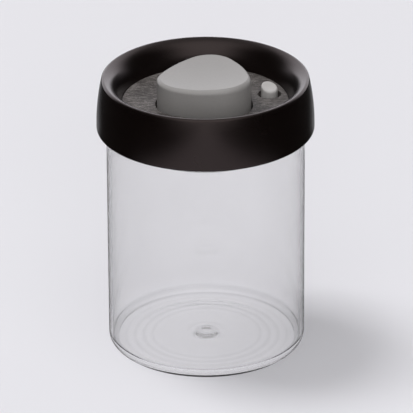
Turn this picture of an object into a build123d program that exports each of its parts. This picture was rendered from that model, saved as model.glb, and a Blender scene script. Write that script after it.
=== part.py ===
# Glass food canister with a hand pump in its lid.
# A straight glass jar stands under a flared black lid ring. The ring's bowl holds a textured deck plate, a
# rounded three-cornered pump button and a small release button. Under the plate the lid holds a pump
# cylinder with a sprung piston, a one-way inlet valve, and a sprung release valve.
# Millimetres, +Z up, origin on the axis at the face that the jar stands on.
from build123d import *

import os
from math import cos, pi, radians, sin, sqrt

os.makedirs("parts", exist_ok=True)

# Clearances and overruns
running_gap = 0.3
snug_gap = 0.05
cut_over = 1.0
third_turn = 360 / 3

# Jar
jar_radius = 50.0
jar_height = 123.7
glass_wall = 1.9
jar_floor = 2.6
heel_round = 3.4
inner_heel_round = 5.0
rim_round = 0.8
punt_radius = 40.0
punt_rise = 0.9
nipple_radius = 4.6
nipple_rise = 0.9

# Stack of the lid above the jar's rim
gasket_flange = 1.5
base_flange = 1.8
deck_thickness = 1.8
plate_thickness = 1.5
bowl_depth = 15.2
skirt_overlap = 5.7

# Lid ring
ring_overhang = 4.9
ring_wall = 2.2
ring_lean = 2.5
ring_bulge_depth = 0.45
crest_round = 2.3
ring_foot_round = 1.1
lip_width = 2.5
lip_drop = 0.3
lip_round = 1.2
bowl_inset = 6.5
bowl_lean = 2.9
bowl_hollow = 0.5
bowl_wall = 2.2
rib_count = 12
rib_thickness = 1.6
rib_clearance = 0.6
rib_lift = 1.6

# Pump button outline: three corner arcs joined by flatter side arcs, as shares of the bowl's foot radius
corner_arc_share = 0.276
corner_place_share = 0.306
side_arc_share = 1.563
corner_turn = 82.0
button_rise = 15.7
button_wall = 1.8
button_edge_round = 2.0
dish_radius = 160.0
button_rib = 1.4
button_rib_drop = 3.0
plate_opening_gap = 0.9
sleeve_gap = 0.4
sleeve_wall = 1.6

# Lid base, the plug that hangs in the jar's mouth
plug_wall = 2.0
plug_depth = 12.7
plug_lip = 0.9
plug_lip_height = 1.2
plug_lip_drop = 7.4
plug_foot_inset = 6.5
plug_foot_rise = 4.2
base_floor = 2.0
base_flange_margin = 0.4

# Gasket
gasket_body = 1.2
fin_reach = 0.55
fin_height = 0.9
fin_clearance = 0.35
fin_count = 3

# Pump cylinder
bore_share = 0.34
cylinder_wall = 1.5
cylinder_drop = 7.0
cylinder_floor = 1.6
flange_margin = 0.6
cylinder_flange = 1.6
washer_thickness = 1.0
washer_margin = 0.6
inlet_count = 6
inlet_radius = 0.9
inlet_circle = 3.6
valve_hole_radius = 1.25

# Cylinder cap and inlet guard
cap_top = 1.6
cap_skirt = 2.6
cap_wall = 1.2
cap_notch_count = 3
cap_notch_radius = 1.2
guard_floor = 1.0
guard_room = 1.5
guard_grip = 3.2
guard_wall = 1.2
guard_slot_count = 9
guard_slot_width = 1.8
guard_slot_in = 5.5
guard_slot_out = 13.0

# Inlet valve
umbrella_radius = 6.0
umbrella_crown = 1.2
umbrella_edge = 0.4
valve_bulb_radius = 1.8
valve_bulb_height = 1.2

# Pump movement
pump_stroke = 11.0
dead_height = 3.8
piston_foot = 1.2
piston_groove = 2.3
piston_head = 1.5
piston_foot_gap = 1.0
piston_groove_depth = 2.4
piston_head_gap = 0.6
piston_web = 1.9
spring_recess = 3.0
stem_radius = 6.5
stem_wall = 1.5
stem_height = 12.0
cup_gap = 0.3
pump_coil_radius = 8.5
pump_wire = 0.9
pump_coils = 5

# Release valve
release_margin = 2.9
release_turn = 13.6
release_radius = 4.17
release_proud = 3.05
release_slope = 14.0
release_edge_round = 0.7
release_dish_radius = 9.0
release_dish_depth = 0.35
release_hole_radius = 6.0
well_depth = 4.0
well_floor = 1.8
well_wall = 1.4
release_shoulder = 1.1
release_shoulder_height = 1.5
release_stem_radius = 1.7
release_neck_radius = 1.15
release_barb = 0.85
release_barb_height = 1.0
release_stroke = 2.2
port_radius = 2.9
port_tube_radius = 4.6
port_tube_wall = 1.3
port_tube_height = 4.5
poppet_radius = 5.0
poppet_thickness = 1.6
release_coil_radius = 3.2
release_wire = 0.6
release_coils = 6

# Screws
screw_count = 4
screw_inset = 5.5
screw_first_turn = 58.6
screw_shank_radius = 1.45
screw_head_radius = 2.75
screw_head_height = 1.8
screw_length = 8.0
screw_slot = 0.8
deck_pad_radius = 4.5
deck_pad_drop = 4.0
base_boss_radius = 4.0
pump_screw_length = 10.0
boss_radius = 4.9

# Radii worked out from the sizes above
ring_radius = jar_radius + ring_overhang
bowl_foot_radius = jar_radius - bowl_inset
plug_radius = jar_radius - glass_wall - fin_clearance - fin_reach - gasket_body
plug_foot_radius = plug_radius - plug_foot_inset
corner_radius = bowl_foot_radius * corner_arc_share
corner_circle = bowl_foot_radius * corner_place_share
side_radius = bowl_foot_radius * side_arc_share
side_spread = side_radius - corner_radius
side_circle = (sqrt(4 * side_spread**2 - 3 * corner_circle**2) - corner_circle) / 2
button_half_width = side_radius - side_circle
bore_radius = bowl_foot_radius * bore_share
cylinder_radius = bore_radius + cylinder_wall
cylinder_flange_radius = button_half_width + sleeve_gap + sleeve_wall + flange_margin
piston_foot_radius = bore_radius - piston_foot_gap
piston_groove_radius = bore_radius - piston_groove_depth
piston_head_radius = bore_radius - piston_head_gap
screw_circle = bowl_foot_radius - screw_inset
release_circle = bowl_foot_radius - release_hole_radius - well_wall - release_margin
release_x = release_circle * cos(radians(release_turn))
release_y = release_circle * sin(radians(release_turn))

# Levels worked out from the sizes above
gasket_top = jar_height + gasket_flange
deck_under = gasket_top + base_flange
deck_top = deck_under + deck_thickness
plate_top = deck_top + plate_thickness
crest_z = plate_top + bowl_depth
button_top = plate_top + button_rise
skirt_z = jar_height - skirt_overlap
base_under = jar_height - plug_depth
base_top = base_under + base_floor
washer_top = base_top + washer_thickness
cylinder_flange_top = washer_top + cylinder_flange
button_foot = cylinder_flange_top + pump_stroke + running_gap
cylinder_under = base_under - cylinder_drop
chamber_z = cylinder_under + cylinder_floor
piston_under = chamber_z + dead_height + pump_stroke
groove_under = piston_under + piston_foot
groove_top = groove_under + piston_groove
piston_top = groove_top + piston_head
cylinder_top = piston_top + running_gap
cap_z = cylinder_top + cap_top
spring_seat = piston_under + spring_recess
gasket_lip_z = gasket_top - plug_lip_drop
well_top = deck_top - well_depth
well_under = well_top - well_floor
shoulder_top = well_under - snug_gap
shoulder_under = shoulder_top - release_shoulder_height


def at(radius, height):
    """A point of a profile, in the half plane that is turned round the axis."""
    return Vector(radius, 0, height)


def chain(*points):
    """Straight edges from point to point."""
    return [Line(points[i], points[i + 1]) for i in range(len(points) - 1)]


def bow(start, end, share):
    """An arc that stands off its chord, to the left of its travel, by a share of the chord."""
    chord = end - start
    return ThreePointArc(start, (start + end) / 2 + Vector(-chord.Z, 0, chord.X) * share, end)


def lathe(*edges):
    """A closed profile turned once round the axis."""
    return revolve(make_face(Wire(list(edges)).edges()), Axis.Z)


def ring(inner, outer, low, high):
    """A plain ring between two radii and two levels."""
    return lathe(*chain(at(inner, low), at(outer, low), at(outer, high), at(inner, high), at(inner, low)))


def post(radius, low, high, x=0, y=0):
    """A round post that stands between two levels."""
    return Pos(x, y, low) * Cylinder(radius, high - low, align=(Align.CENTER, Align.CENTER, Align.MIN))


def around(count, reach, first_turn=0):
    """Places on a circle, as x and y pairs."""
    turns = [radians(first_turn + 360 * i / count) for i in range(count)]
    return [(reach * cos(turn), reach * sin(turn)) for turn in turns]


def save(name, shape):
    """Writes one node, as one solid or as a group of separate ones."""
    solids = shape.solids()
    export_step(solids[0] if len(solids) == 1 else Compound(children=solids), f"parts/{name}.step")


def button_outline(grow):
    """The three-cornered outline of the pump button, moved outwards by grow."""

    def polar(reach, turn):
        return Vector(reach * cos(radians(turn)), reach * sin(radians(turn)), 0)

    def touch(corner_at, side_at):
        """Where the arc of a corner runs into the arc of a side."""
        corner = polar(corner_circle, corner_at)
        side = polar(-side_circle, side_at)
        return corner + (corner - side).normalized() * (corner_radius + grow)

    edges = []
    for i in range(3):
        corner_at = corner_turn + third_turn * i
        before = touch(corner_at, corner_at - third_turn / 2)
        after = touch(corner_at, corner_at + third_turn / 2)
        following = touch(corner_at + third_turn, corner_at + third_turn / 2)
        tip = polar(corner_circle + corner_radius + grow, corner_at)
        middle = polar(button_half_width + grow, corner_at + third_turn / 2)
        edges += [ThreePointArc(before, tip, after), ThreePointArc(after, middle, following)]
    return make_face(edges)


def button_prism(grow, low, high):
    """The button's outline between two levels."""
    return Pos(0, 0, low) * extrude(button_outline(grow), high - low)


def spring(coil_radius, wire, coils, low, high):
    """One unbroken coil of round wire: a helix drawn in half turns, each made of two arcs with one tangent."""
    climb = (high - low - wire) / coils

    def place(turns):
        angle = 2 * pi * turns
        return Vector(coil_radius * cos(angle), coil_radius * sin(angle), low + wire / 2 + climb * turns)

    def heading(turns):
        angle = 2 * pi * turns
        return Vector(-coil_radius * sin(angle), coil_radius * cos(angle), climb / (2 * pi)).normalized()

    arcs = []
    for i in range(2 * coils):
        start, end = place(i / 2), place((i + 1) / 2)
        leave, arrive = heading(i / 2), heading((i + 1) / 2)
        step, turning = end - start, 1 - leave.dot(arrive)
        along = step.dot(leave + arrive)
        handle = (sqrt(along**2 + 2 * turning * step.dot(step)) - along) / (2 * turning)
        across = end - arrive * handle - start - leave * handle
        middle = start + leave * handle + across / 2
        arcs += [TangentArc(start, middle, tangent=leave), TangentArc(middle, end, tangent=across)]
    points = [place(i / 24) for i in range(24 * coils + 1)]
    apart = [(a - b).length for i, a in enumerate(points) for b in points[i + 18 :]]
    print(f"coil of {wire} mm wire: least gap to itself {min(apart) - wire:.2f} mm")
    return sweep(Plane(origin=place(0), z_dir=heading(0)) * Circle(wire / 2), Wire(arcs))


def glass_jar():
    """A straight jar blown from one gather: rounded heel, shallow punt, and the small nipple in its floor."""
    inner = jar_radius - glass_wall
    middle_rise = jar_floor + punt_rise
    outside = [
        Line(at(0, punt_rise), at(nipple_radius, punt_rise)),
        ThreePointArc(
            at(nipple_radius, punt_rise),
            at((nipple_radius + punt_radius) / 2, punt_rise * 0.8),
            at(punt_radius, 0),
        ),
        Line(at(punt_radius, 0), at(jar_radius - heel_round, 0)),
        TangentArc(at(jar_radius - heel_round, 0), at(jar_radius, heel_round), tangent=(1, 0, 0)),
        Line(at(jar_radius, heel_round), at(jar_radius, jar_height - rim_round)),
        TangentArc(at(jar_radius, jar_height - rim_round), at(jar_radius - rim_round, jar_height), tangent=(0, 0, 1)),
        Line(at(jar_radius - rim_round, jar_height), at(inner + rim_round, jar_height)),
        TangentArc(at(inner + rim_round, jar_height), at(inner, jar_height - rim_round), tangent=(-1, 0, 0)),
    ]
    heel_z = jar_floor + inner_heel_round
    inside = [
        Line(at(inner, jar_height - rim_round), at(inner, heel_z)),
        TangentArc(at(inner, heel_z), at(inner - inner_heel_round, jar_floor), tangent=(0, 0, -1)),
        ThreePointArc(
            at(inner - inner_heel_round, jar_floor),
            at((inner - inner_heel_round + 2 * nipple_radius) / 2, jar_floor + punt_rise * 0.7),
            at(2 * nipple_radius, middle_rise),
        ),
        bow(at(2 * nipple_radius, middle_rise), at(nipple_radius, middle_rise), 0.09),
        TangentArc(at(0, middle_rise + nipple_rise), at(nipple_radius, middle_rise), tangent=(1, 0, 0)),
        Line(at(0, middle_rise + nipple_rise), at(0, punt_rise)),
    ]
    return lathe(*outside, *inside)


def ring_profile():
    """The lid ring's section: a bulging skirt, a rounded crest, a narrow lip and the bowl down to the deck."""
    skirt_in = ring_radius - ring_wall
    crest_radius = ring_radius - ring_lean - crest_round
    lip_radius = crest_radius - lip_width
    lip_z = crest_z - lip_drop
    bowl_top_radius = bowl_foot_radius + bowl_lean
    shoulder_z = crest_z - crest_round
    skirt_low = skirt_z + ring_foot_round
    skirt_mid = (skirt_low + shoulder_z) / 2
    skirt_mid_radius = ring_radius - ring_lean / 2 + ring_bulge_depth
    bowl_high = lip_z - lip_round
    bowl_mid = at((bowl_foot_radius + bowl_top_radius) / 2 + bowl_hollow, (plate_top + bowl_high) / 2)
    skin = ThreePointArc(
        at(ring_radius, skirt_low), at(skirt_mid_radius, skirt_mid), at(ring_radius - ring_lean, shoulder_z)
    )
    crest = TangentArc(skin @ 1, at(crest_radius, crest_z), tangent=skin % 1)
    outer = [
        *chain(at(0, deck_under), at(0, deck_top), at(bowl_foot_radius, deck_top), at(bowl_foot_radius, plate_top)),
        ThreePointArc(at(bowl_foot_radius, plate_top), bowl_mid, at(bowl_top_radius, bowl_high)),
        bow(at(bowl_top_radius, bowl_high), at(lip_radius, lip_z), 0.2),
        Line(at(lip_radius, lip_z), at(crest_radius, crest_z)),
        crest,
        skin,
        TangentArc(at(ring_radius, skirt_low), at(ring_radius - ring_foot_round, skirt_z), tangent=(0, 0, -1)),
    ]
    hollow_in = bowl_foot_radius + bowl_wall
    hollow_top = bowl_high - ring_wall
    hollow_top_in = bowl_top_radius + bowl_wall
    hollow_top_out = max(ring_radius - ring_lean - ring_wall, hollow_top_in + snug_gap)
    inner = [
        Line(at(ring_radius - ring_foot_round, skirt_z), at(skirt_in, skirt_z)),
        Line(at(skirt_in, skirt_z), at(skirt_in, skirt_low)),
        ThreePointArc(
            at(skirt_in, skirt_low), at(skirt_mid_radius - ring_wall, skirt_mid), at(hollow_top_out, hollow_top)
        ),
        *chain(
            at(hollow_top_out, hollow_top),
            at(hollow_top_in, hollow_top),
            at(hollow_in, deck_top),
            at(hollow_in, deck_under),
            at(0, deck_under),
        ),
    ]
    return lathe(*outer, *inner), hollow_top


def screw_places():
    return around(screw_count, screw_circle, screw_first_turn)


def plate_pegs(low, high, radius):
    """The plate's four small locating pegs, or their sockets, on the screw circle between the screws."""
    first = screw_first_turn + 180 / screw_count / 2
    return [post(radius, low, high, x, y) for x, y in around(screw_count, screw_circle, first)]


def lid_ring():
    """The black ring with its bowl, deck, button sleeve, release well, screw pads and centring ribs."""
    body, hollow_top = ring_profile()
    rib_in = jar_radius + rib_clearance
    rib_low = skirt_z + rib_lift
    rib_foot = ring_radius - ring_wall / 2
    rib_head = rib_foot - ring_lean
    rib_room = lathe(
        Line(at(rib_in, rib_low), at(rib_foot, rib_low)),
        ThreePointArc(
            at(rib_foot, rib_low),
            at(rib_foot - ring_lean / 2 + ring_bulge_depth, (rib_low + hollow_top) / 2),
            at(rib_head, hollow_top),
        ),
        *chain(at(rib_head, hollow_top), at(rib_in, hollow_top), at(rib_in, rib_low)),
    )
    for i in range(rib_count):
        rib = Box(ring_radius, rib_thickness, crest_z, align=(Align.MIN, Align.CENTER, Align.MIN))
        body += rib_room & (Rot(0, 0, 360 * (i + 0.5) / rib_count) * rib)
    body += button_prism(sleeve_gap + sleeve_wall, cylinder_flange_top, deck_top)
    body += post(release_hole_radius + well_wall, well_under, deck_top, release_x, release_y)
    for x, y in screw_places():
        body += post(deck_pad_radius, deck_under - deck_pad_drop, deck_top, x, y)
    body -= button_prism(sleeve_gap, cylinder_flange_top - cut_over, deck_top + cut_over)
    body -= post(release_hole_radius, well_top, deck_top + cut_over, release_x, release_y)
    body -= post(release_radius + running_gap, well_under - cut_over, well_top + cut_over, release_x, release_y)
    head_seat = deck_top - screw_head_height - running_gap
    for x, y in screw_places():
        body -= post(screw_head_radius + running_gap, head_seat, deck_top + cut_over, x, y)
        body -= post(screw_shank_radius + running_gap, deck_under - deck_pad_drop - cut_over, deck_top, x, y)
    for socket in plate_pegs(deck_top - deck_thickness / 2, deck_top + cut_over, 1.5 * screw_shank_radius):
        body -= socket
    return body


def top_plate():
    """The textured plate that hides the screws, with its openings for both buttons and its four pegs."""
    plate = post(bowl_foot_radius - running_gap, deck_top, plate_top)
    plate -= button_prism(plate_opening_gap, deck_top - cut_over, plate_top + cut_over)
    plate -= post(release_hole_radius, deck_top - cut_over, plate_top + cut_over, release_x, release_y)
    for peg in plate_pegs(deck_top - deck_thickness / 2 + snug_gap, deck_top, 1.5 * screw_shank_radius - snug_gap):
        plate += peg
    return plate


def lid_base():
    """The plug moulding: flange, gasket seat, sloped foot, floor, screw bosses and the release port's tube."""
    inner = plug_radius - plug_wall
    flange_radius = jar_radius - base_flange_margin
    lip_radius = plug_radius + plug_lip
    slope_low = at(plug_foot_radius, base_under)
    slope_high = at(lip_radius, base_under + plug_foot_rise)
    body = lathe(
        *chain(
            at(0, base_under),
            slope_low,
            slope_high,
            at(lip_radius, gasket_lip_z),
            at(plug_radius, gasket_lip_z),
            at(plug_radius, gasket_top),
            at(flange_radius, gasket_top),
            at(flange_radius, deck_under),
            at(inner, deck_under),
            at(inner, base_under + plug_foot_rise + base_floor / 2),
            at(plug_foot_radius - base_floor / 2, base_top),
            at(0, base_top),
            at(0, base_under),
        )
    )
    boss_top = deck_under - deck_pad_drop
    for x, y in screw_places():
        body += post(base_boss_radius, base_top - base_floor / 2, boss_top, x, y)
    tube_top = base_top + port_tube_height
    body += post(port_tube_radius + port_tube_wall, base_top - base_floor / 2, tube_top, release_x, release_y)
    body -= post(port_tube_radius, base_top, tube_top + cut_over, release_x, release_y)
    body -= post(port_radius, base_under - cut_over, base_top + cut_over, release_x, release_y)
    body -= post(cylinder_radius + running_gap, base_under - cut_over, base_top + cut_over)
    pilot_low = deck_top - screw_head_height - running_gap - screw_length - running_gap
    for x, y in screw_places():
        body -= post(screw_shank_radius + snug_gap, pilot_low, boss_top + cut_over, x, y)
    return body


def jar_gasket():
    """The silicone ring: a flange on the jar's rim, and fins that wipe the inside of its mouth."""
    body_radius = plug_radius + gasket_body
    fin_radius = body_radius + fin_reach
    flange_radius = jar_radius - base_flange_margin
    pitch = (jar_height - gasket_lip_z - rim_round) / fin_count
    points = [at(plug_radius, gasket_lip_z), at(body_radius, gasket_lip_z)]
    for i in range(fin_count):
        low = gasket_lip_z + pitch * (i + 0.5) - fin_height / 2
        points += [at(body_radius, low), at(fin_radius, low + fin_height / 2), at(body_radius, low + fin_height)]
    points += [
        at(body_radius, jar_height),
        at(flange_radius, jar_height),
        at(flange_radius, gasket_top),
        at(plug_radius, gasket_top),
        at(plug_radius, gasket_lip_z),
    ]
    return lathe(*chain(*points))


def pump_cylinder():
    """The pump's tube: clamped by its flange, open above, with a ported floor below."""
    body = ring(bore_radius, cylinder_radius, cylinder_under, cylinder_top)
    body += ring(cylinder_radius - snug_gap, cylinder_flange_radius, washer_top, cylinder_flange_top)
    body += post(bore_radius + snug_gap, cylinder_under, chamber_z)
    body -= post(valve_hole_radius, cylinder_under - cut_over, chamber_z + cut_over)
    for x, y in around(inlet_count, inlet_circle):
        body -= post(inlet_radius, cylinder_under - cut_over, chamber_z + cut_over, x, y)
    return body


def cylinder_washer():
    """The flat silicone washer that seals the cylinder's flange on the lid base."""
    return ring(cylinder_radius + washer_margin, cylinder_flange_radius - washer_margin, base_top, washer_top)


def cylinder_cap():
    """The snap-on cap that stops the piston and guides its stem, with notches that let the air out."""
    outer = cylinder_radius + snug_gap + cap_wall
    hole = stem_radius + running_gap
    body = ring(hole, outer, cylinder_top, cap_z)
    body += ring(cylinder_radius + snug_gap, outer, cylinder_top - cap_skirt, cylinder_top)
    for x, y in around(cap_notch_count, hole, corner_turn):
        body -= post(cap_notch_radius, cylinder_top - cut_over, cap_z + cut_over, x, y)
    return body


def inlet_guard():
    """The slotted cup that snaps on the cylinder's foot and keeps food out of the valve."""
    outer = cylinder_radius + snug_gap + guard_wall
    foot = cylinder_under - guard_room - guard_floor
    body = post(outer, foot, cylinder_under + guard_grip)
    body -= post(cylinder_radius + snug_gap, cylinder_under, cylinder_under + guard_grip + cut_over)
    body -= post(bore_radius, foot + guard_floor, cylinder_under + cut_over)
    reach = (guard_slot_in + guard_slot_out) / 2
    for i in range(guard_slot_count):
        slot = SlotOverall(guard_slot_out - guard_slot_in, guard_slot_width)
        cut = extrude(slot, guard_floor + 2 * cut_over)
        body -= Rot(0, 0, 360 * i / guard_slot_count) * Pos(reach, 0, foot - cut_over) * cut
    return body


def inlet_valve():
    """The silicone umbrella valve: a domed skirt over the ports, a stem, and the bulb that holds it."""
    stem = valve_hole_radius - snug_gap
    crown = chamber_z + umbrella_crown
    bulb_under = cylinder_under - valve_bulb_height
    return lathe(
        Line(at(0, bulb_under), at(valve_bulb_radius / 2, bulb_under)),
        bow(at(valve_bulb_radius / 2, bulb_under), at(valve_bulb_radius, cylinder_under), -0.2),
        *chain(
            at(valve_bulb_radius, cylinder_under),
            at(stem, cylinder_under),
            at(stem, chamber_z),
            at(umbrella_radius, chamber_z),
            at(umbrella_radius, chamber_z + umbrella_edge),
        ),
        TangentArc(at(0, crown), at(umbrella_radius, chamber_z + umbrella_edge), tangent=(1, 0, 0)),
        Line(at(0, crown), at(0, bulb_under)),
    )


def piston():
    """The piston: two discs with the cup's groove between them, a spring recess below and a tubular stem."""
    recess_in = pump_coil_radius - pump_wire / 2 - snug_gap
    recess_out = pump_coil_radius + pump_wire / 2 + snug_gap
    web_under = piston_top - piston_web
    body = post(piston_foot_radius, piston_under, groove_under)
    body += post(piston_groove_radius, piston_under, piston_top)
    body += post(piston_head_radius, groove_top, piston_top)
    body += post(stem_radius, groove_top, piston_top + stem_height)
    body -= ring(recess_in, recess_out, piston_under - cut_over, spring_seat)
    body -= post(screw_head_radius + running_gap, piston_under - cut_over, web_under)
    body -= post(screw_shank_radius + running_gap, web_under - cut_over, piston_top + cut_over)
    body -= post(stem_radius - stem_wall, piston_top, piston_top + stem_height + cut_over)
    return body


def piston_cup():
    """The silicone cup seal. Its lip opens upwards: it seals on the up stroke and lets air past on the down one."""
    heel_in = piston_groove_radius + snug_gap
    lip_out = bore_radius - cup_gap
    low = groove_under + snug_gap
    high = groove_top - snug_gap
    width = lip_out - heel_in
    rise = high - low
    shares = {"foot": 0.82, "flare": 0.55, "notch_out": 0.72, "notch": 0.5, "notch_in": 0.3, "notch_low": 0.5}
    return lathe(
        *chain(
            at(heel_in, low),
            at(heel_in + width * shares["foot"], low),
            at(lip_out, low + rise * shares["flare"]),
            at(lip_out, high),
            at(heel_in + width * shares["notch_out"], high),
            at(heel_in + width * shares["notch"], low + rise * shares["notch_low"]),
            at(heel_in + width * shares["notch_in"], high),
            at(heel_in, high),
            at(heel_in, low),
        )
    )


def screw(seat, length):
    """A pan head screw on the axis: its head rests on the seat, its shank points down."""
    head = post(screw_head_radius, seat, seat + screw_head_height)
    head = fillet(head.edges().sort_by(Axis.Z)[-1], screw_head_height / 3)
    slots = Box(2 * screw_head_radius * 0.6, screw_slot, screw_slot)
    slots += Rot(0, 0, 90) * slots
    shank = post(screw_shank_radius, seat - length, seat)
    return head + shank - Pos(0, 0, seat + screw_head_height) * slots


def lid_screws():
    """The four screws from the deck into the base's bosses."""
    seat = deck_top - screw_head_height - running_gap
    one = screw(seat, screw_length)
    return Compound(children=[Pos(x, y, 0) * one for x, y in screw_places()])


def pump_screw():
    """The screw that goes up through the piston's web into the button's boss."""
    seat = piston_top - piston_web
    return Pos(0, 0, 2 * seat) * Rot(180, 0, 0) * screw(seat, pump_screw_length)


def pump_button():
    """The hollow three-cornered button: dished top, rounded edge, screw boss and three ribs inside."""
    span = corner_circle + corner_radius
    dish_low = button_top - (span - button_edge_round) ** 2 / (2 * dish_radius)
    body = button_prism(0, button_foot, button_top + 2 * button_edge_round)
    body -= Pos(0, 0, dish_low + dish_radius) * Sphere(dish_radius)
    crown = body.edges().filter_by(lambda edge: edge.center().Z > dish_low)
    body = fillet(crown, button_edge_round)
    ceiling = dish_low - button_wall
    hollow = button_prism(-button_wall, button_foot - cut_over, ceiling)
    inside = post(boss_radius, piston_top, ceiling)
    for i in range(3):
        rib = Box(span, button_rib, button_rib_drop, align=(Align.MIN, Align.CENTER, Align.MAX))
        inside += Rot(0, 0, corner_turn + third_turn * i) * Pos(boss_radius - button_rib, 0, ceiling) * rib
    body -= hollow - inside
    body -= post(screw_shank_radius + snug_gap, piston_top - cut_over, piston_top + pump_screw_length)
    return body


def release_button():
    """The release button: sloped and dished top, shoulder under the well, stem, neck and barb in one piece."""
    neck_top = base_under
    poppet_under = neck_top - poppet_thickness
    top = plate_top + release_proud + release_stroke
    tall = top + 2 * release_radius
    body = post(release_radius, shoulder_under, tall)
    slope = Pos(0, 0, top) * Rot(0, release_slope, 0) * Box(
        6 * release_radius, 6 * release_radius, 6 * release_radius, align=(Align.CENTER, Align.CENTER, Align.MIN)
    )
    body -= slope
    body = fillet(body.edges().filter_by(lambda edge: edge.center().Z > plate_top), release_edge_round)
    dish = Pos(0, 0, release_dish_radius - release_dish_depth) * Sphere(release_dish_radius)
    body -= Pos(0, 0, top) * Rot(0, release_slope, 0) * dish
    body += post(release_radius + release_shoulder, shoulder_under, shoulder_top)
    body += post(release_stem_radius, neck_top, shoulder_under)
    body += post(release_neck_radius, poppet_under, neck_top)
    body += post(release_neck_radius + release_barb, poppet_under - release_barb_height, poppet_under)
    barb_foot = body.edges().sort_by(Axis.Z)[0]
    body = chamfer(barb_foot, release_barb_height / 2)
    return Pos(release_x, release_y, 0) * Rot(0, 0, release_turn) * body


def release_seal():
    """The silicone poppet disc, drawn up against the underside of the base's port."""
    low = base_under - poppet_thickness
    disc = post(poppet_radius, low, base_under)
    disc = fillet(disc.edges().sort_by(Axis.Z)[0], poppet_thickness / 3)
    disc -= post(release_neck_radius + snug_gap, low - cut_over, base_under + cut_over)
    return Pos(release_x, release_y, 0) * disc


def release_spring():
    coil = spring(release_coil_radius, release_wire, release_coils, base_top, shoulder_under)
    return Pos(release_x, release_y, 0) * coil


def pump_spring():
    return spring(pump_coil_radius, pump_wire, pump_coils, chamber_z, spring_seat)


NODES = {
    "glass_jar": glass_jar,
    "lid_ring": lid_ring,
    "top_plate": top_plate,
    "lid_base": lid_base,
    "jar_gasket": jar_gasket,
    "lid_screws": lid_screws,
    "pump_cylinder": pump_cylinder,
    "cylinder_washer": cylinder_washer,
    "cylinder_cap": cylinder_cap,
    "inlet_guard": inlet_guard,
    "inlet_valve": inlet_valve,
    "pump_button": pump_button,
    "piston": piston,
    "piston_cup": piston_cup,
    "pump_screw": pump_screw,
    "pump_spring": pump_spring,
    "release_button": release_button,
    "release_seal": release_seal,
    "release_spring": release_spring,
}

for node_name, make in NODES.items():
    save(node_name, make())
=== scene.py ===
from math import atan, cos, pi, radians, sin

import bmesh
import bpy
import numpy as np
from mathutils import Matrix, Vector


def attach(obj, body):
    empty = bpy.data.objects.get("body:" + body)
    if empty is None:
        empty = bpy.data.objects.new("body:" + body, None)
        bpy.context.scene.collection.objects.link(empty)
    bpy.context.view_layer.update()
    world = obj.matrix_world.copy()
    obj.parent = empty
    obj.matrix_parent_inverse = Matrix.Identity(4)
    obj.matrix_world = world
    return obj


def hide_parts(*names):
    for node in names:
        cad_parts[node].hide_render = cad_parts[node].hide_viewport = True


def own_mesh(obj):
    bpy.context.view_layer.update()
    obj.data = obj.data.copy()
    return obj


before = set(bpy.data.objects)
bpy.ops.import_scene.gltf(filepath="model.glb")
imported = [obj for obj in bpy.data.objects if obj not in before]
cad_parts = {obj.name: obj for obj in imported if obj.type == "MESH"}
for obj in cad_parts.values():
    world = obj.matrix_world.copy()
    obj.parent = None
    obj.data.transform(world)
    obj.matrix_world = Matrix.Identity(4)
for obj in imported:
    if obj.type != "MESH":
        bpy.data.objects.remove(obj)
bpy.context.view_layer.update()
MM = 0.001
QUARTER = 0.2071
WELD_GAP = 0.000002


# Sizes in millimetres: the solids' own, except where the photograph shows another
JAR_RADIUS = 50.0
JAR_INSIDE = 48.1
JAR_HEIGHT = 123.7
JAR_FLOOR = 2.0
JAR_HEEL = 4.6
INNER_HEEL = 3.0
JAR_RIM_ROUND = 0.8
WALL_TOP = 122.0
PUNT_RISE = 0.9
PUNT_EDGE = 40.0
PUNT_FLAT = 4.6
RING_PITCH = 4.6
RING_RADIUS = 54.9
SKIRT_Z = 118.0
SKIRT_INSIDE = 52.7
CREST_Z = 145.1
BOWL_FOOT = 43.5
BOWL_EDGE = (46.0, 141.2)
LIP_EDGE = (49.7, 144.53)
CAVITY_TOP = 140.8
CAVITY_FOOT = 45.7
SOLID_PLATE_TOP = 130.3
PLATE_TOP = 132.2
PLATE_RADIUS = 42.1
DECK_TOP = 128.8
BUTTON_FOOT = 126.9
BUTTON_WALL = 1.8
CORNER_TURN = 82.0
SOLID_OUTLINE = (12.0, 13.3, 68.0)
FULL_OUTLINE = (15.5, 9.5, 45.0)
DISH_RADIUS = 160.0
DISH_LOWEST = 145.5
DISH_RISE = 0.035
RELEASE_REACH = 33.2
RELEASE_TURN = 13.6
RELEASE_RADIUS = 4.17
RELEASE_MIDDLE_Z = 136.3
RELEASE_FALL = (0.19, -0.31)


class Wire:
    """An output socket in a node tree. Sums, differences, products and powers add Math nodes."""

    def __init__(self, patch, socket):
        self.patch, self.socket = patch, socket

    def _math(self, operation, first, second):
        return self.patch.add("ShaderNodeMath", {"operation": operation}, [first, second])

    def __add__(self, other):
        return self._math("ADD", self, other)

    def __rsub__(self, other):
        return self._math("SUBTRACT", other, self)

    def __mul__(self, other):
        return self._math("MULTIPLY", self, other)

    def __pow__(self, other):
        return self._math("POWER", self, other)

    __radd__ = __add__
    __rmul__ = __mul__


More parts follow.
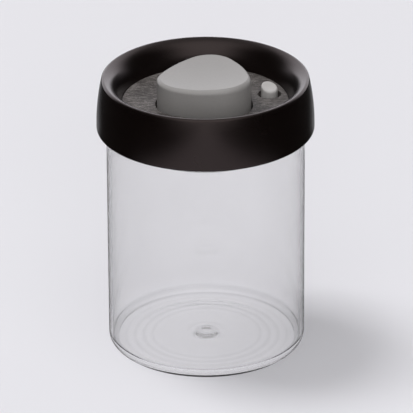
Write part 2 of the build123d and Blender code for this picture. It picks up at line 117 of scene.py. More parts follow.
class Patch:
    """A node tree being wired. add() puts in one node; the methods below it are patterns that
    several materials share."""

    def __init__(self, tree):
        self.tree = tree

    def add(self, kind, settings=None, values=None, out=0):
        """One node: its settings are set first, then the values or links of its sockets, which
        are given by place or by name."""
        node = self.tree.nodes.new(kind)
        for key, value in (settings or {}).items():
            if key == "stops":
                ramp = node.color_ramp.elements
                while len(ramp) < len(value):
                    ramp.new(0.5)
                for stop, (place, colour) in zip(ramp, value):
                    stop.position, stop.color = place, colour
            else:
                setattr(node, key, value)
        pairs = values.items() if isinstance(values, dict) else enumerate(values or [])
        for key, value in pairs:
            self.feed(node.inputs[key], value)
        return Wire(self, node.outputs[out])

    def feed(self, socket, value):
        if isinstance(value, Wire):
            self.tree.links.new(value.socket, socket)
        else:
            socket.default_value = value

    def place(self, turn=(0, 0, 0), scale=(1, 1, 1)):
        """Object coordinates, turned and stretched."""
        coordinates = self.add("ShaderNodeTexCoord", out="Object")
        values = {"Vector": coordinates, "Rotation": turn, "Scale": scale}
        return self.add("ShaderNodeMapping", {"vector_type": "POINT"}, values)

    def part_of(self, vector, axis):
        """One of the three numbers of a vector."""
        return self.add("ShaderNodeSeparateXYZ", None, [vector], out=axis)

    def length(self, vector):
        return self.add("ShaderNodeVectorMath", {"operation": "LENGTH"}, [vector], out="Value")

    def size_of(self, value):
        return self.add("ShaderNodeMath", {"operation": "ABSOLUTE"}, [value])

    def larger(self, first, second):
        return self.add("ShaderNodeMath", {"operation": "MAXIMUM"}, [first, second])

    def ray(self, kind):
        """1 for rays of that kind, such as Glossy, and 0 for others."""
        return self.add("ShaderNodeLightPath", out=f"Is {kind} Ray")

    def noise(self, vector, scale, detail=3.0, roughness=0.55):
        """A cloud of noise, its features 1 / scale metres wide."""
        values = {"Vector": vector, "Scale": scale, "Detail": detail, "Roughness": roughness}
        return self.add("ShaderNodeTexNoise", None, values)

    def mix(self, share, first, second):
        """Colour from first to second as share goes from 0 to 1."""
        return self.add("ShaderNodeMixRGB", None, [share, first, second])

    def ramp(self, value, *stops):
        return self.add("ShaderNodeValToRGB", {"stops": stops}, [value])

    def fade(self, value, full, none):
        """1 up to full, falling smoothly to 0 at none."""
        ends = {"From Min": full, "From Max": none, "To Min": 1.0, "To Max": 0.0}
        settings = {"interpolation_type": "SMOOTHSTEP"}
        return self.add("ShaderNodeMapRange", settings, {"Value": value, **ends})

    def rise(self, value, none, full):
        """0 up to none, rising smoothly to 1 at full."""
        return 1.0 - self.fade(value, none, full)

    def bump(self, height, depth, strength=1.0):
        """A relief of that depth in metres."""
        values = {"Height": height, "Distance": depth, "Strength": strength}
        return self.add("ShaderNodeBump", None, values)


class Finish(Patch):
    """A procedural material, wired round its Principled shader."""

    SOCKETS = {
        "base_color": "Base Color",
        "roughness": "Roughness",
        "metallic": "Metallic",
        "normal": "Normal",
        "ior": "IOR",
        "transmission": "Transmission Weight",
        "specular": "Specular IOR Level",
        "sheen_colour": "Specular Tint",
        "subsurface": "Subsurface Weight",
        "subsurface_reach": "Subsurface Radius",
    }

    def __init__(self, name):
        self.material = bpy.data.materials.new(name)
        self.material.use_nodes = True
        super().__init__(self.material.node_tree)
        self.shader = self.tree.nodes["Principled BSDF"]

    def set(self, **values):
        """Sets or links sockets of the shader: base_color means Base Color, and so on."""
        for key, value in values.items():
            self.feed(self.shader.inputs[self.SOCKETS[key]], value)

    def blend_shader(self, share, other):
        """The surface goes from the Principled shader to another one as share goes from 0 to 1."""
        own = Wire(self, self.shader.outputs[0])
        both = self.add("ShaderNodeMixShader", None, [share, own, other])
        self.feed(self.tree.nodes["Material Output"].inputs["Surface"], both)


def shade(*rgb):
    return (*rgb, 1.0)


def satin_moulding(name, colour, low, high, gloss=0.4, sheen=(1.0, 1.0, 1.0)):
    """Spark-eroded moulded plastic: a fine dull grain, with a faint drift of colour and sheen.
    Its roughness goes from low to high."""
    finish = Finish(name)
    drift = finish.noise(finish.place(), scale=35.0, detail=2.0)
    grit = finish.noise(finish.place(), scale=2600.0, detail=2.0)
    lift = finish.noise(finish.place(), scale=900.0)
    dark = shade(*(0.84 * part for part in colour))
    light = shade(*(1.12 * part for part in colour))
    finish.set(
        base_color=finish.mix(drift * 0.6 + lift * 0.4, dark, light),
        roughness=drift * (high - low) + low,
        normal=finish.bump(grit + lift * 0.6, depth=0.000012),
        specular=gloss,
        sheen_colour=shade(*sheen),
    )
    return finish


def grained_plate():
    """The deck plate: short streaks of grain that run across it, over pale and dark speckle."""
    finish = Finish("grained_plate")
    grain_turn = (0, 0, radians(-24))
    along = finish.place(turn=grain_turn, scale=(1.0, 6.5, 1.0))
    across = finish.place(turn=grain_turn, scale=(1.0, 2.2, 1.0))
    streak = finish.noise(along, scale=330.0, detail=5.0, roughness=0.68)
    fleck = finish.noise(across, scale=1500.0, roughness=0.7)
    cloud = finish.noise(finish.place(), scale=60.0, detail=2.0)
    pattern = streak * 0.58 + fleck * 0.34 + cloud * 0.14
    finish.set(
        base_color=finish.ramp(
            pattern,
            (0.41, shade(0.009, 0.007, 0.006)),
            (0.50, shade(0.042, 0.036, 0.034)),
            (0.57, shade(0.110, 0.099, 0.094)),
            (0.66, shade(0.34, 0.32, 0.31)),
        ),
        roughness=0.72 - pattern * 0.3,
        normal=finish.bump(pattern, depth=0.00022, strength=0.9),
        specular=0.3,
    )
    return finish


def blown_glass():
    """Clear glass with a faint drift of tint, and painted shade: grey where it is seen edge on, and
    a little darker over the inner heel, blown rings and nipple of the floor, at their distances in
    metres
    from the axis: rings = cos(2 pi r / pitch). Shadows and soft light go nearly straight through."""
    finish = Finish("blown_glass")
    edge = finish.add("ShaderNodeLayerWeight", None, {"Blend": 0.5}, out="Facing")
    drift = finish.noise(finish.place(scale=(1.0, 1.0, 0.10)), scale=40.0, detail=2.0)
    reach = finish.length(finish.place(scale=(1.0, 1.0, 0.0)))
    height = finish.part_of(finish.place(), "Z")

    def band(begin, full, keep, end):
        """0 up to begin, 1 from full to keep, and 0 again from end."""
        return finish.rise(reach, begin, full) * finish.fade(reach, keep, end)

    turns = reach * (2 * pi / (RING_PITCH * MM))
    ripple = finish.add("ShaderNodeMath", {"operation": "COSINE"}, [turns])
    # Painted shade: the tint darkens over the floor's rings, nipple and inner heel
    rings = ripple * band(0.023, 0.030, 0.039, 0.045)
    nipple = band(0.0015, 0.0035, 0.0045, 0.0075)
    heel = band(0.0445, 0.0470, 0.0484, 0.0488)
    low_down = finish.fade(height, 0.0050, 0.0070)
    painted_floor_shade = low_down * (rings * 0.20 + nipple * 0.42 + heel * 0.95)
    # Painted shade: the tint turns grey where the glass is seen edge on
    clear, grey_edge = shade(0.94, 0.939, 0.94), shade(0.70, 0.70, 0.705)
    finish.set(
        base_color=finish.mix(edge**5 + drift * 0.02 + painted_floor_shade, clear, grey_edge),
        roughness=0.0,
        ior=1.47,
        transmission=1.0,
    )
    passing = finish.add("ShaderNodeBsdfTransparent", None, [shade(0.98, 0.98, 0.983)])
    finish.blend_shader(finish.larger(finish.ray("Shadow"), finish.ray("Diffuse")), passing)
    return finish


def cloudy_silicone(name, colour):
    """Soft translucent silicone: milky, a little glossy, with a dusty drift in its sheen."""
    finish = Finish(name)
    drift = finish.noise(finish.place(), scale=160.0)
    dark = shade(*(0.85 * part for part in colour))
    finish.set(
        base_color=finish.mix(drift, dark, shade(*colour)),
        roughness=drift * 0.2 + 0.32,
        normal=finish.bump(finish.noise(finish.place(), scale=1300.0), depth=0.00001),
        subsurface=0.25,
        subsurface_reach=(0.002, 0.002, 0.002),
    )
    return finish


def bright_steel():
    """Drawn steel wire and screws: bright, with fine draw marks."""
    finish = Finish("bright_steel")
    marks = finish.noise(finish.place(scale=(1.0, 1.0, 9.0)), scale=700.0)
    finish.set(
        base_color=finish.mix(marks, shade(0.50, 0.50, 0.51), shade(0.68, 0.68, 0.68)),
        metallic=1.0,
        roughness=marks * 0.25 + 0.18,
        normal=finish.bump(marks, depth=0.00001),
    )
    return finish


def weld(piece):
    """Merges a mesh's doubled points."""
    piece.modifiers.new("Weld", "WELD").merge_threshold = WELD_GAP


def crisp(piece, degrees=30):
    """Keeps the edges sharp where faces meet at more than that angle."""
    piece.modifiers.new("Edges", "EDGE_SPLIT").split_angle = radians(degrees)


def smooth(mesh):
    mesh.polygons.foreach_set("use_smooth", np.ones(len(mesh.polygons), bool))


def mesh_piece(name, points, faces, finish, body, *nodes, slot):
    """A piece made from arrays of points, in millimetres, and faces. It rides on a body, and
    stands for the CAD nodes that are named, if any."""
    mesh = bpy.data.meshes.new(name)
    mesh.from_pydata((points * MM).tolist(), [], faces.tolist())
    smooth(mesh)
    mesh.update()
    piece = bpy.data.objects.new(name, mesh)
    bpy.context.scene.collection.objects.link(piece)
    weld(piece)
    mesh.materials.append(finish.material)
    if nodes:
        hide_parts(*nodes)
    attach(piece, body)
    return piece


def grid_faces(rows, columns):
    """Faces of a grid that closes on itself along its columns."""
    row, column = np.meshgrid(np.arange(rows - 1), np.arange(columns), indexing="ij")
    here, above = row * columns, (row + 1) * columns
    after = (column + 1) % columns
    corners = [here + column, here + after, above + after, above + column]
    return np.stack(corners, axis=-1).reshape(-1, 4)


def arc(start, end, bulge, count):
    """Points on an arc that stands off its chord, left of its travel, by bulge times the chord.
    With a = 2 atan(2 bulge) and t from -1 to 1, a point is (1 + sin(a t) / sin a) / 2 of the way
    along the chord and (cos(a t) - cos a) / (2 sin a) chords to its left. A bulge of QUARTER
    makes a quarter of a circle."""
    start, end = np.array(start, float), np.array(end, float)
    half = 2 * np.arctan(2 * bulge)
    chord = end - start
    side = np.array([-chord[1], chord[0]])
    turn = np.linspace(-half, half, count)[:, None]
    along = (np.sin(turn) / np.sin(half) + 1) / 2
    off = (np.cos(turn) - np.cos(half)) / (2 * np.sin(half))
    return start + chord * along + side * off


def run(start, end, count):
    """Points on a straight line."""
    return np.linspace(start, end, count)


def lathe(profile, segments):
    """A profile of (radius, height) points turned once round the upright axis:
    x = r cos t, y = r sin t, z = h."""
    turn = np.arange(segments) * 2 * pi / segments
    radius, height = profile[:, :1], profile[:, 1:]
    x, y = radius * np.cos(turn), radius * np.sin(turn)
    z = np.broadcast_to(height, x.shape)
    return np.stack([x, y, z], axis=-1).reshape(-1, 3), grid_faces(len(profile), segments)


def hump(r, middle, spread):
    """A smooth hump of height 1: exp(-((r - middle) / spread)^2)."""
    return np.exp(-(((r - middle) / spread) ** 2))


def jar_profile():
    """The jar's section, from the middle of its underside round the heel, up the wall, over the
    rim and down inside to the nipple. Underneath, z = rise (1 - ((r - flat) / (edge - flat))^2.2).
    The floor inside is a dome with shallow blown rings, a cos(2 pi r / pitch), and a nipple that
    is a hump with a dip round it."""
    r = np.linspace(0, PUNT_EDGE, 36)
    outward = np.clip(r - PUNT_FLAT, 0, None) / (PUNT_EDGE - PUNT_FLAT)
    under = np.stack([r, PUNT_RISE * (1 - outward**2.2)], axis=-1)
    rim_out, rim_in = JAR_RADIUS - JAR_RIM_ROUND, JAR_INSIDE + JAR_RIM_ROUND
    rim_foot = JAR_HEIGHT - JAR_RIM_ROUND
    heel_foot = (JAR_RADIUS - JAR_HEEL, 0.0)
    inner_heel_top = (JAR_INSIDE, JAR_FLOOR + INNER_HEEL)
    inner_heel_foot = (JAR_INSIDE - INNER_HEEL, JAR_FLOOR)
    back = np.linspace(JAR_INSIDE - 3.4, 0, 120)
    dome = PUNT_RISE * hump(back, 0, 26)
    rings = 0.06 * np.cos(2 * pi * back / RING_PITCH) * hump(back, 34, 8)
    nipple = 0.60 * hump(back, 4.2, 1.9) - 0.32 * hump(back, 8.6, 2.3)
    parts = [
        under,
        [[PUNT_EDGE + 0.4, 0.0]],
        arc(heel_foot, (JAR_RADIUS, JAR_HEEL), -QUARTER, 20),
        run((JAR_RADIUS, 6.0), (JAR_RADIUS, WALL_TOP), 5),
        arc((JAR_RADIUS, rim_foot), (rim_out, JAR_HEIGHT), QUARTER, 8),
        arc((rim_in, JAR_HEIGHT), (JAR_INSIDE, rim_foot), QUARTER, 8),
        run((JAR_INSIDE, WALL_TOP), (JAR_INSIDE, JAR_FLOOR + 3.6), 5),
        arc(inner_heel_top, inner_heel_foot, -QUARTER, 18),
        np.stack([back, JAR_FLOOR + dome + rings + nipple], axis=-1),
    ]
    return np.concatenate([np.asarray(part, float) for part in parts])


def jar_piece(finish):
    points, faces = lathe(jar_profile(), 420)
    return mesh_piece("jar_glass", points, faces, finish, "jar", "glass_jar", slot="glass")


def ring_profile():
    """The lid ring's closed section: up inside its foot, up the bowl, out over the sloping lip
    and the crest, down the skirt, and back inside through the cavity between skirt and bowl."""
    foot = PLATE_RADIUS - 0.1
    hem = DECK_TOP - 0.4
    skirt_round = 1.1
    corner = (RING_RADIUS, SKIRT_Z + skirt_round)
    shell = [
        run((foot, hem), (foot, PLATE_TOP - 0.1), 4),
        arc((foot, PLATE_TOP), BOWL_EDGE, 0.03, 24),
        arc((BOWL_EDGE[0] + 0.05, BOWL_EDGE[1] + 0.08), LIP_EDGE, 0.0747, 16),
        run((LIP_EDGE[0] + 0.1, LIP_EDGE[1] + 0.05), (50.6, CREST_Z - 0.15), 3),
        arc((50.8, CREST_Z - 0.08), (52.3, 143.9), 0.20, 12),
        arc((52.35, 143.7), corner, 0.028, 36),
        arc(corner, (RING_RADIUS - skirt_round, SKIRT_Z), QUARTER, 8),
        run((53.7, SKIRT_Z), (SKIRT_INSIDE + 0.05, SKIRT_Z), 2),
        run((SKIRT_INSIDE, SKIRT_Z + 0.1), (SKIRT_INSIDE, SKIRT_Z + skirt_round), 3),
        arc((SKIRT_INSIDE, 119.2), (50.4, CAVITY_TOP), -0.028, 14),
        run((50.3, CAVITY_TOP + 0.2), (48.8, CAVITY_TOP + 0.2), 3),
        run((48.6, CAVITY_TOP), (CAVITY_FOOT, DECK_TOP), 6),
        run((CAVITY_FOOT, DECK_TOP - 0.1), (CAVITY_FOOT, hem), 2),
        run((CAVITY_FOOT - 0.1, hem), (foot, hem), 3),
    ]
    return np.concatenate(shell)[::-1]


def ring_piece(finish):
    points, faces = lathe(ring_profile(), 288)
    return mesh_piece(
        "lid_ring_shell", points, faces, finish, "lid", "lid_ring", slot="black_plastic"
    )


def rib_points(low, high, count=8):
    """One centring rib as rings of four corners: inner edge upright, outer edge along the skirt's
    middle line, x = foot - lean s + 4 bow s (1 - s) with s from 0 at the rib's foot to 1."""
    inside, foot, lean, bow, half = 50.6, 53.6, 2.4, 0.42, 0.8
    z = np.linspace(low, high, count)
    share = (z - low) / (high - low)
    outer = foot - lean * share + 4 * bow * share * (1 - share)
    inner = np.full(count, inside)
    corners = [(inner, -half), (outer, -half), (outer, half), (inner, half)]
    rings = [np.stack([x, np.full(count, y), z], axis=-1) for x, y in corners]
    return np.stack(rings, axis=1).reshape(-1, 3)


def centring_ribs(finish, count=12):
    """The ribs inside the skirt: one rib repeated round the axis, each closed at both ends."""
    one = rib_points(SKIRT_Z + 1.6, 140.6)
    size = len(one)
    foot, top = [3, 2, 1, 0], [size - 4, size - 3, size - 2, size - 1]
    face = np.concatenate([grid_faces(size // 4, 4), [foot, top]])
    points, faces = [], []
    for i in range(count):
        turn = 2 * pi * (i + 0.5) / count
        spin = np.array([[cos(turn), -sin(turn), 0], [sin(turn), cos(turn), 0], [0, 0, 1]])
        points.append(one @ spin.T)
        faces.append(face + i * size)
    points, faces = np.concatenate(points), np.concatenate(faces)
    return mesh_piece("centring_ribs", points, faces, finish, "lid", slot="black_plastic")


def outline_parts(shape, steps=36):
    """The button's outline as arcs: for each point its arc's centre, the arc's radius and the
    outward direction. shape is the corners' radius, how far out their centres are, and the sides'
    radius. The side arcs are struck from behind the axis, so that they run on into the corners."""
    corner_radius, corner_reach, side_radius = shape
    spread = side_radius - corner_radius
    behind = (np.sqrt(4 * spread**2 - 3 * corner_reach**2) - corner_reach) / 2
    centres, radii, headings = [], [], []

    def towards(turn):
        return np.array([np.cos(turn), np.sin(turn)])

    def turn_of(line):
        return np.arctan2(line[1], line[0])

    for i in range(3):
        corner_at = radians(CORNER_TURN + 120 * i)
        corner = corner_reach * towards(corner_at)
        following = corner_reach * towards(corner_at + 2 * pi / 3)
        side = -behind * towards(corner_at + pi / 3)
        enter, leave = turn_of(corner - side), turn_of(following - side)
        half = np.angle(np.exp(1j * (enter - corner_at)))
        sweep = np.angle(np.exp(1j * (leave - enter)))
        for centre, radius, first, span in [
            (corner, corner_radius, corner_at - half, 2 * half),
            (side, side_radius, enter, sweep),
        ]:
            heading = first + span * np.arange(steps) / steps
            centres.append(np.repeat(centre[None], steps, 0))
            radii.append(np.full(steps, radius))
            headings.append(towards(heading).T)
    return np.concatenate(centres), np.concatenate(radii), np.concatenate(headings)


def outline_at(grow, shape=FULL_OUTLINE):
    """The outline moved outwards by grow: centre + (radius + grow) * heading."""
    centres, radii, headings = outline_parts(shape)
    return centres + (radii + grow)[:, None] * headings


def reach_towards(turn, shape):
    """How far the outline is from the axis in the directions turn."""
    edge = outline_at(0.0, shape)
    heading = np.arctan2(edge[:, 1], edge[:, 0])
    reach = np.hypot(edge[:, 0], edge[:, 1])
    order = np.argsort(heading)
    return np.interp(turn, heading[order], reach[order], period=2 * pi)


def filled_out(points):
    """Points of the deck and plate moved next to the button, from the solids' outline to the
    photograph's: by the outlines' difference near the edge, fading to nothing 2.5 mm inside it
    and 6 mm outside it."""
    turn = np.arctan2(points[:, 1], points[:, 0])
    reach = np.hypot(points[:, 0], points[:, 1])
    old = reach_towards(turn, SOLID_OUTLINE)
    within, beyond = 2.5, 6.0
    inner = np.clip((reach - old + within) / 2, 0, 1)
    outer = np.clip((old + beyond - reach) / 2.5, 0, 1)
    moved = reach + (reach_towards(turn, FULL_OUTLINE) - old) * inner * outer
    points = points.copy()
    points[:, :2] *= (moved / np.maximum(reach, 0.001))[:, None]
    return points


def button_dish(xy):
    """Height of the dished top: z = lowest + rise x + (x^2 + y^2) / (2 DISH_RADIUS)."""
    return DISH_LOWEST + DISH_RISE * xy[..., 0] + (xy**2).sum(axis=-1) / (2 * DISH_RADIUS)


def pump_button_piece(finish):
    """The button as rings of its outline: up the inside, out under the foot, up the side, round
    the shoulder to a crisp crease, and in over the dished top."""
    rings = []

    def ring_at(grow, z, share=1.0):
        xy = outline_at(grow) * share
        rings.append(np.column_stack([xy, np.broadcast_to(z, len(xy))]))

    crease_in, full_turn = 1.75, radians(56)
    shoulder_depth, shoulder_rise, top_wall = 2.5, 0.03, 3.0
    rim = outline_at(-crease_in)
    shoulder = shoulder_depth + shoulder_rise * outline_at(0.0)[:, 0]
    side_top = button_dish(rim) - shoulder
    ceiling = DISH_LOWEST - top_wall
    side_foot = BUTTON_FOOT + 0.4
    for share in (0.0, 0.5, 0.9, 1.0):
        ring_at(-BUTTON_WALL, ceiling, share)
    for z in (ceiling - 0.2, 136.0, BUTTON_FOOT + 0.2):
        ring_at(-BUTTON_WALL, z)
    for grow, z in [(-1.6, 0.0), (-0.3, 0.0), (-0.05, 0.1), (0.0, 0.4)]:
        ring_at(grow, BUTTON_FOOT + z)
    for share in np.linspace(0.05, 1.0, 12):
        ring_at(0.0, side_foot + (side_top - side_foot) * share)
    for turn in np.linspace(0.12, 1.0, 10) * full_turn:
        grow = -crease_in * (1 - np.cos(turn)) / (1 - np.cos(full_turn))
        ring_at(grow, side_top + shoulder * np.sin(turn) / np.sin(full_turn))
    for share in np.concatenate([[0.998, 0.99], np.linspace(0.97, 0.0, 22)]):
        rings.append(np.column_stack([rim * share, button_dish(rim * share)]))
    points, faces = np.concatenate(rings), grid_faces(len(rings), len(rim))
    return mesh_piece(
        "pump_button_shell", points, faces, finish, "pump", "pump_button", slot="grey_plastic"
    )


def release_middle():
    """Where the release button's axis is."""
    turn = radians(RELEASE_TURN)
    return RELEASE_REACH * np.array([np.cos(turn), np.sin(turn)])


def release_button_piece(finish):
    """The release button: rings about its own axis, given as radius, height and how much of
    RELEASE_FALL they lean by. From the bottom: barb, neck, stem, flange, and the button with its
    rounded edge and a shallow dish, z = middle - dish (1 - s^2)^1.5 with s from 0 to 1."""
    segments, edge_round, edge_height, dish = 96, 0.75, 0.95, 0.42
    barb, neck, stem, button = 2.0, 1.15, 1.7, RELEASE_RADIUS
    flange = button + 1.1
    lean_from, lean_to = 130.0, 135.3
    edge_foot = RELEASE_MIDDLE_Z - edge_height
    rows = [
        (0.0, 108.4, 0), (1.5, 108.4, 0), (barb, 108.9, 0), (barb, 109.4, 0),
        (neck, 109.4, 0), (neck, 111.0, 0), (stem, 111.0, 0), (stem, 121.45, 0),
        (flange, 121.45, 0), (flange, 122.95, 0), (button, 122.95, 0), (button, 124.0, 0),
        (button, lean_from, 0.2),
    ]
    for share in np.linspace(0.2, 1.0, 8):
        rows.append((button, lean_from + (lean_to - lean_from) * share, 0.2 + 0.8 * share))
    for turn in np.linspace(0.15, 1.0, 9) * pi / 2:
        inward = edge_round * (1 - np.cos(turn))
        rows.append((button - inward, edge_foot + edge_height * np.sin(turn), 1))
    for share in np.linspace(0.94, 0.0, 12):
        sunk = dish * (1 - share**2) ** 1.5
        rows.append(((button - edge_round) * share, RELEASE_MIDDLE_Z - sunk, 1))
    rows = np.array(rows)
    points, faces = lathe(rows[:, :2], segments)
    points[:, 2] -= np.repeat(rows[:, 2], segments) * (points[:, :2] @ RELEASE_FALL)
    points[:, :2] += release_middle()
    return mesh_piece(
        "release_button_post", points, faces, finish, "release", "release_button",
        slot="light_plastic",
    )


def coil_wire(name, finish, middle, coil_radius, wire, coils, low, high):
    """A spring's wire as rings of points along its helix, p = (R cos a, R sin a, foot + climb
    a / 2 pi), for the CAD node of that name."""
    round_points, steps = 12, 40
    climb = (high - low - wire) / coils
    angle = np.linspace(0, 2 * pi * coils, steps * coils + 1)[:, None]
    out = np.concatenate([np.cos(angle), np.sin(angle), 0 * angle], axis=1)
    lean = climb / (2 * pi * coil_radius)
    upward = [lean * np.sin(angle), -lean * np.cos(angle), np.ones_like(angle)]
    upward = np.concatenate(upward, axis=1) / np.sqrt(1 + lean**2)
    line = coil_radius * out + [middle[0], middle[1], low + wire / 2]
    line[:, 2:] += climb * angle / (2 * pi)
    thick = np.full((len(line) + 2, 1), wire / 2)
    thick[[0, -1]] = 0.0
    ends = np.concatenate([[0], np.arange(len(line)), [len(line) - 1]])
    turns = np.arange(round_points) * 2 * pi / round_points
    rings = [
        line[ends] + thick * (np.cos(turn) * out[ends] + np.sin(turn) * upward[ends])
        for turn in turns
    ]
    points = np.stack(rings, axis=1).reshape(-1, 3)
    faces = grid_faces(len(ends), round_points)[:, ::-1]
    piece = mesh_piece(name + "_wire", points, faces, finish, "lid", name, slot="steel")
    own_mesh(piece)
    return piece


def solid_points(name):
    """The points and triangles of a CAD node's mesh, as arrays in millimetres."""
    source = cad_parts[name].data
    points = np.zeros(len(source.vertices) * 3)
    source.vertices.foreach_get("co", points)
    corners = np.zeros(len(source.loops), int)
    source.loops.foreach_get("vertex_index", corners)
    return points.reshape(-1, 3) / MM, corners.reshape(-1, 3)


def plate_piece(finish):
    """The deck plate, a copy of its solid: its face goes up to PLATE_TOP and its rim in to
    PLATE_RADIUS, which is where the photograph has them."""
    points, faces = solid_points("top_plate")
    upper = points[:, 2] > (SOLID_PLATE_TOP + DECK_TOP) / 2
    points[upper, 2] += PLATE_TOP - SOLID_PLATE_TOP
    reach = np.hypot(points[:, 0], points[:, 1])
    rim = reach > BOWL_FOOT - 1.2
    points[rim, :2] *= (1 - (BOWL_FOOT - PLATE_RADIUS) / reach[rim])[:, None]
    points = filled_out(points)
    piece = mesh_piece(
        "deck_plate", points, faces, finish, "lid", "top_plate", slot="speckled_plate"
    )
    crisp(piece)
    return piece


def close_rims(mesh):
    """Bridges the two open rims of a mesh, whose doubles are merged first, with a flat band."""
    shell = bmesh.new()
    shell.from_mesh(mesh)
    bmesh.ops.remove_doubles(shell, verts=shell.verts, dist=WELD_GAP)
    rims = [edge for edge in shell.edges if edge.is_boundary]
    bmesh.ops.bridge_loops(shell, edges=rims)
    bmesh.ops.recalc_face_normals(shell, faces=shell.faces)
    shell.to_mesh(mesh)
    shell.free()


def deck_piece(finish):
    """The ring's deck with its sleeve, well and screw pads: the solid's mesh inside the bowl,
    merged and closed."""
    points, faces = solid_points("lid_ring")
    near = np.hypot(points[:, 0], points[:, 1]) < CAVITY_FOOT + 0.1
    inside = near & (points[:, 2] < DECK_TOP + 0.01)
    faces = faces[inside[faces].all(axis=1)]
    used, numbers = np.unique(faces, return_inverse=True)
    points, faces = filled_out(points[used]), numbers.reshape(-1, 3)
    piece = mesh_piece("deck_and_well", points, faces, finish, "lid", slot="black_plastic")
    close_rims(piece.data)
    crisp(piece)
    return piece


def keep_node(name, finish):
    """A CAD node that stays: it gets its finish, welded and shaded smooth up to sharp edges."""
    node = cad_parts[name]
    node.data.materials.clear()
    node.data.materials.append(finish.material)
    smooth(node.data)
    weld(node)
    crisp(node)


# Finishes
black = satin_moulding(
    "black_moulding", (0.0016, 0.0008, 0.0006), low=0.22, high=0.30,
    gloss=0.5, sheen=(1.0, 0.80, 0.78),
)
grey = satin_moulding(
    "warm_grey_moulding", (0.268, 0.258, 0.252), low=0.36, high=0.46, gloss=0.3
)
light_grey = satin_moulding(
    "light_grey_moulding", (0.43, 0.415, 0.405), low=0.32, high=0.42, gloss=0.35
)
natural = satin_moulding("natural_moulding", (0.62, 0.61, 0.57), low=0.28, high=0.40)
plate = grained_plate()
glass = blown_glass()
silicone = cloudy_silicone("clear_silicone", (0.66, 0.66, 0.65))
steel = bright_steel()

# Pieces
jar_piece(glass)
ring_piece(black)
deck_piece(black)
plate_piece(plate)
centring_ribs(black)
pump_button_piece(grey)
release_button_piece(light_grey)
coil_wire(
    "pump_spring", steel, middle=(0.0, 0.0),
    coil_radius=8.5, wire=0.9, coils=5, low=105.6, high=123.4,
)
coil_wire(
    "release_spring", steel, middle=release_middle(),
    coil_radius=3.2, wire=0.6, coils=6, low=113.0, high=121.45,
)

KEPT = {
    "lid_base": black,
    "jar_gasket": silicone,
    "lid_screws": steel,
    "pump_cylinder": natural,
    "cylinder_washer": silicone,
    "cylinder_cap": natural,
    "inlet_guard": natural,
    "inlet_valve": silicone,
    "piston": natural,
    "piston_cup": silicone,
    "pump_screw": steel,
    "release_seal": silicone,
}
for node_name, node_finish in KEPT.items():
    keep_node(node_name, node_finish)

# Studio, in metres: a pale floor, three soft lamps and a pale room
BACKGROUND = (0.768, 0.761, 0.799)
FLOOR_Z = -0.0003
FLOOR_REACH = 12.0
BACK_GLOW = 1.4


def studio_floor():
    """A pale sheet under the object. Its colour in reflections is painted: a reflection shows it
    pale in front, as a lit table is, less so beyond the object, and dark elsewhere. Through the
    glass it glows where the lid shades it, painted light that lifts that shadow."""
    mesh = bpy.data.meshes.new("floor")
    signs = [(-1, -1), (1, -1), (1, 1), (-1, 1)]
    corners = [(x * FLOOR_REACH, y * FLOOR_REACH, FLOOR_Z) for x, y in signs]
    mesh.from_pydata(corners, [], [(0, 1, 2, 3)])
    floor = bpy.data.objects.new("floor", mesh)
    bpy.context.scene.collection.objects.link(floor)
    finish = Finish("pale_floor")
    aside = finish.size_of(finish.part_of(finish.place(), "X"))
    along = finish.part_of(finish.place(), "Y")
    in_front = finish.fade(aside, 0.16, 0.34) * finish.fade(along, -0.16, -0.02)
    beyond = finish.rise(along, 0.20, 0.25) * finish.fade(aside, 0.09, 0.28)
    through = finish.ray("Transmission")
    mirrored = finish.ray("Glossy") * (1.0 - through)
    # Painted reflection: for reflected rays the floor turns dark, except in front and faintly
    # beyond
    dim = mirrored * (1.0 - in_front) * (1.0 - beyond * 0.7)
    finish.set(
        base_color=finish.mix(dim, shade(*BACKGROUND), shade(0.03, 0.028, 0.027)),
        roughness=0.9,
        specular=0.0,
    )
    # Painted light: seen through the glass, the floor near the axis glows, lifting the lid's shadow
    under = through * finish.fade(finish.length(finish.place()), 0.048, 0.075)
    glow = finish.add("ShaderNodeEmission", None, [shade(0.845, 0.837, 0.879)])
    finish.blend_shader(under * 0.72, glow)
    mesh.materials.append(finish.material)


def soft_lamp(name, place, size, power):
    """A square or oblong lamp that faces the object. Reflections and glass don't show it."""
    data = bpy.data.lights.new(name, "AREA")
    data.shape, data.size, data.size_y = "RECTANGLE", *size
    data.energy = power
    lamp = bpy.data.objects.new(name, data)
    bpy.context.scene.collection.objects.link(lamp)
    lamp.location = place
    lamp.visible_glossy = False
    lamp.visible_transmission = False
    object_middle = Vector((0, 0, 0.07))
    facing = object_middle - Vector(place)
    lamp.rotation_euler = facing.to_track_quat("-Z", "Y").to_euler()


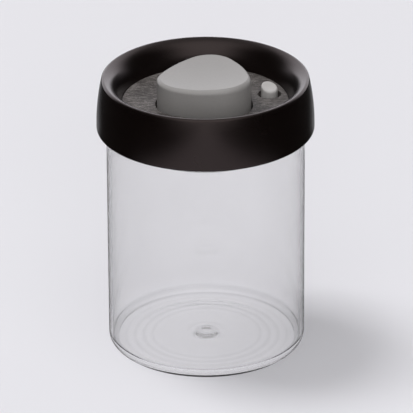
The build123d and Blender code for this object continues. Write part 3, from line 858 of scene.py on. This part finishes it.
def pale_room(sides, middle, front):
    """The world: a soft pale light, dim at the left and right and strongest in front and above,
    and the background's own colour where the camera sees it directly. Reflections see a brighter
    background behind the object, and through glass a quarter of it is the background."""
    world = bpy.data.worlds.new("room")
    bpy.context.scene.world = world
    world.use_nodes = True
    room = Patch(world.node_tree)
    direction = room.add("ShaderNodeTexCoord", out="Generated")
    aside = room.size_of(room.part_of(direction, "X"))
    forward = (0.0, -0.8, 0.6)
    settings = {"operation": "DOT_PRODUCT"}
    ahead = room.add("ShaderNodeVectorMath", settings, [direction, forward], out="Value")
    facing_light = middle + room.rise(ahead, 0.2, 0.95) * front
    strength = room.fade(aside, 0.25, 0.8) * facing_light + sides
    light = room.add("ShaderNodeBackground", None, [shade(1.0, 1.0, 1.0), strength])
    through = room.ray("Transmission")
    mirrored = room.ray("Glossy") * (1.0 - through)
    back_values = [shade(*BACKGROUND), 1.0 + BACK_GLOW * mirrored]
    back = room.add("ShaderNodeBackground", None, back_values)
    far_side = mirrored * room.rise(room.part_of(direction, "Y"), 0.3, 0.8)
    share = room.larger(room.larger(room.ray("Camera"), far_side), through * 0.25)
    both = room.add("ShaderNodeMixShader", None, [share, light, back])
    room.feed(world.node_tree.nodes["World Output"].inputs["Surface"], both)


def photo_camera():
    """The camera of the photograph: a long lens, looking down at 25 degrees, with a slight roll."""
    distance, elevation, roll = 2.3388, radians(25.45), radians(-0.296)
    half_picture, focal_length = 206.5, 4607.9
    data = bpy.data.cameras.new("camera")
    data.angle = 2 * atan(half_picture / focal_length)
    data.clip_end = 60
    camera = bpy.data.objects.new("camera", data)
    bpy.context.scene.collection.objects.link(camera)
    look_at = Vector((0.00029, 0, 0.0733))
    place = look_at + distance * Vector((0, -cos(elevation), sin(elevation)))
    turn = Matrix.Rotation(pi / 2 - elevation, 4, "X") @ Matrix.Rotation(roll, 4, "Z")
    camera.matrix_world = Matrix.Translation(place) @ turn
    bpy.context.scene.camera = camera


studio_floor()
soft_lamp("key_lamp", place=(-1.15, 0.45, 3.35), size=(1.15, 1.15), power=56)
soft_lamp("front_lamp", place=(0.2, -2.4, 1.1), size=(1.2, 1.2), power=18)
soft_lamp("side_lamp", place=(2.4, 1.6, 1.6), size=(1.0, 1.6), power=12)
pale_room(sides=0.05, middle=0.28, front=0.90)
photo_camera()
bpy.context.scene.view_settings.view_transform = "Standard"
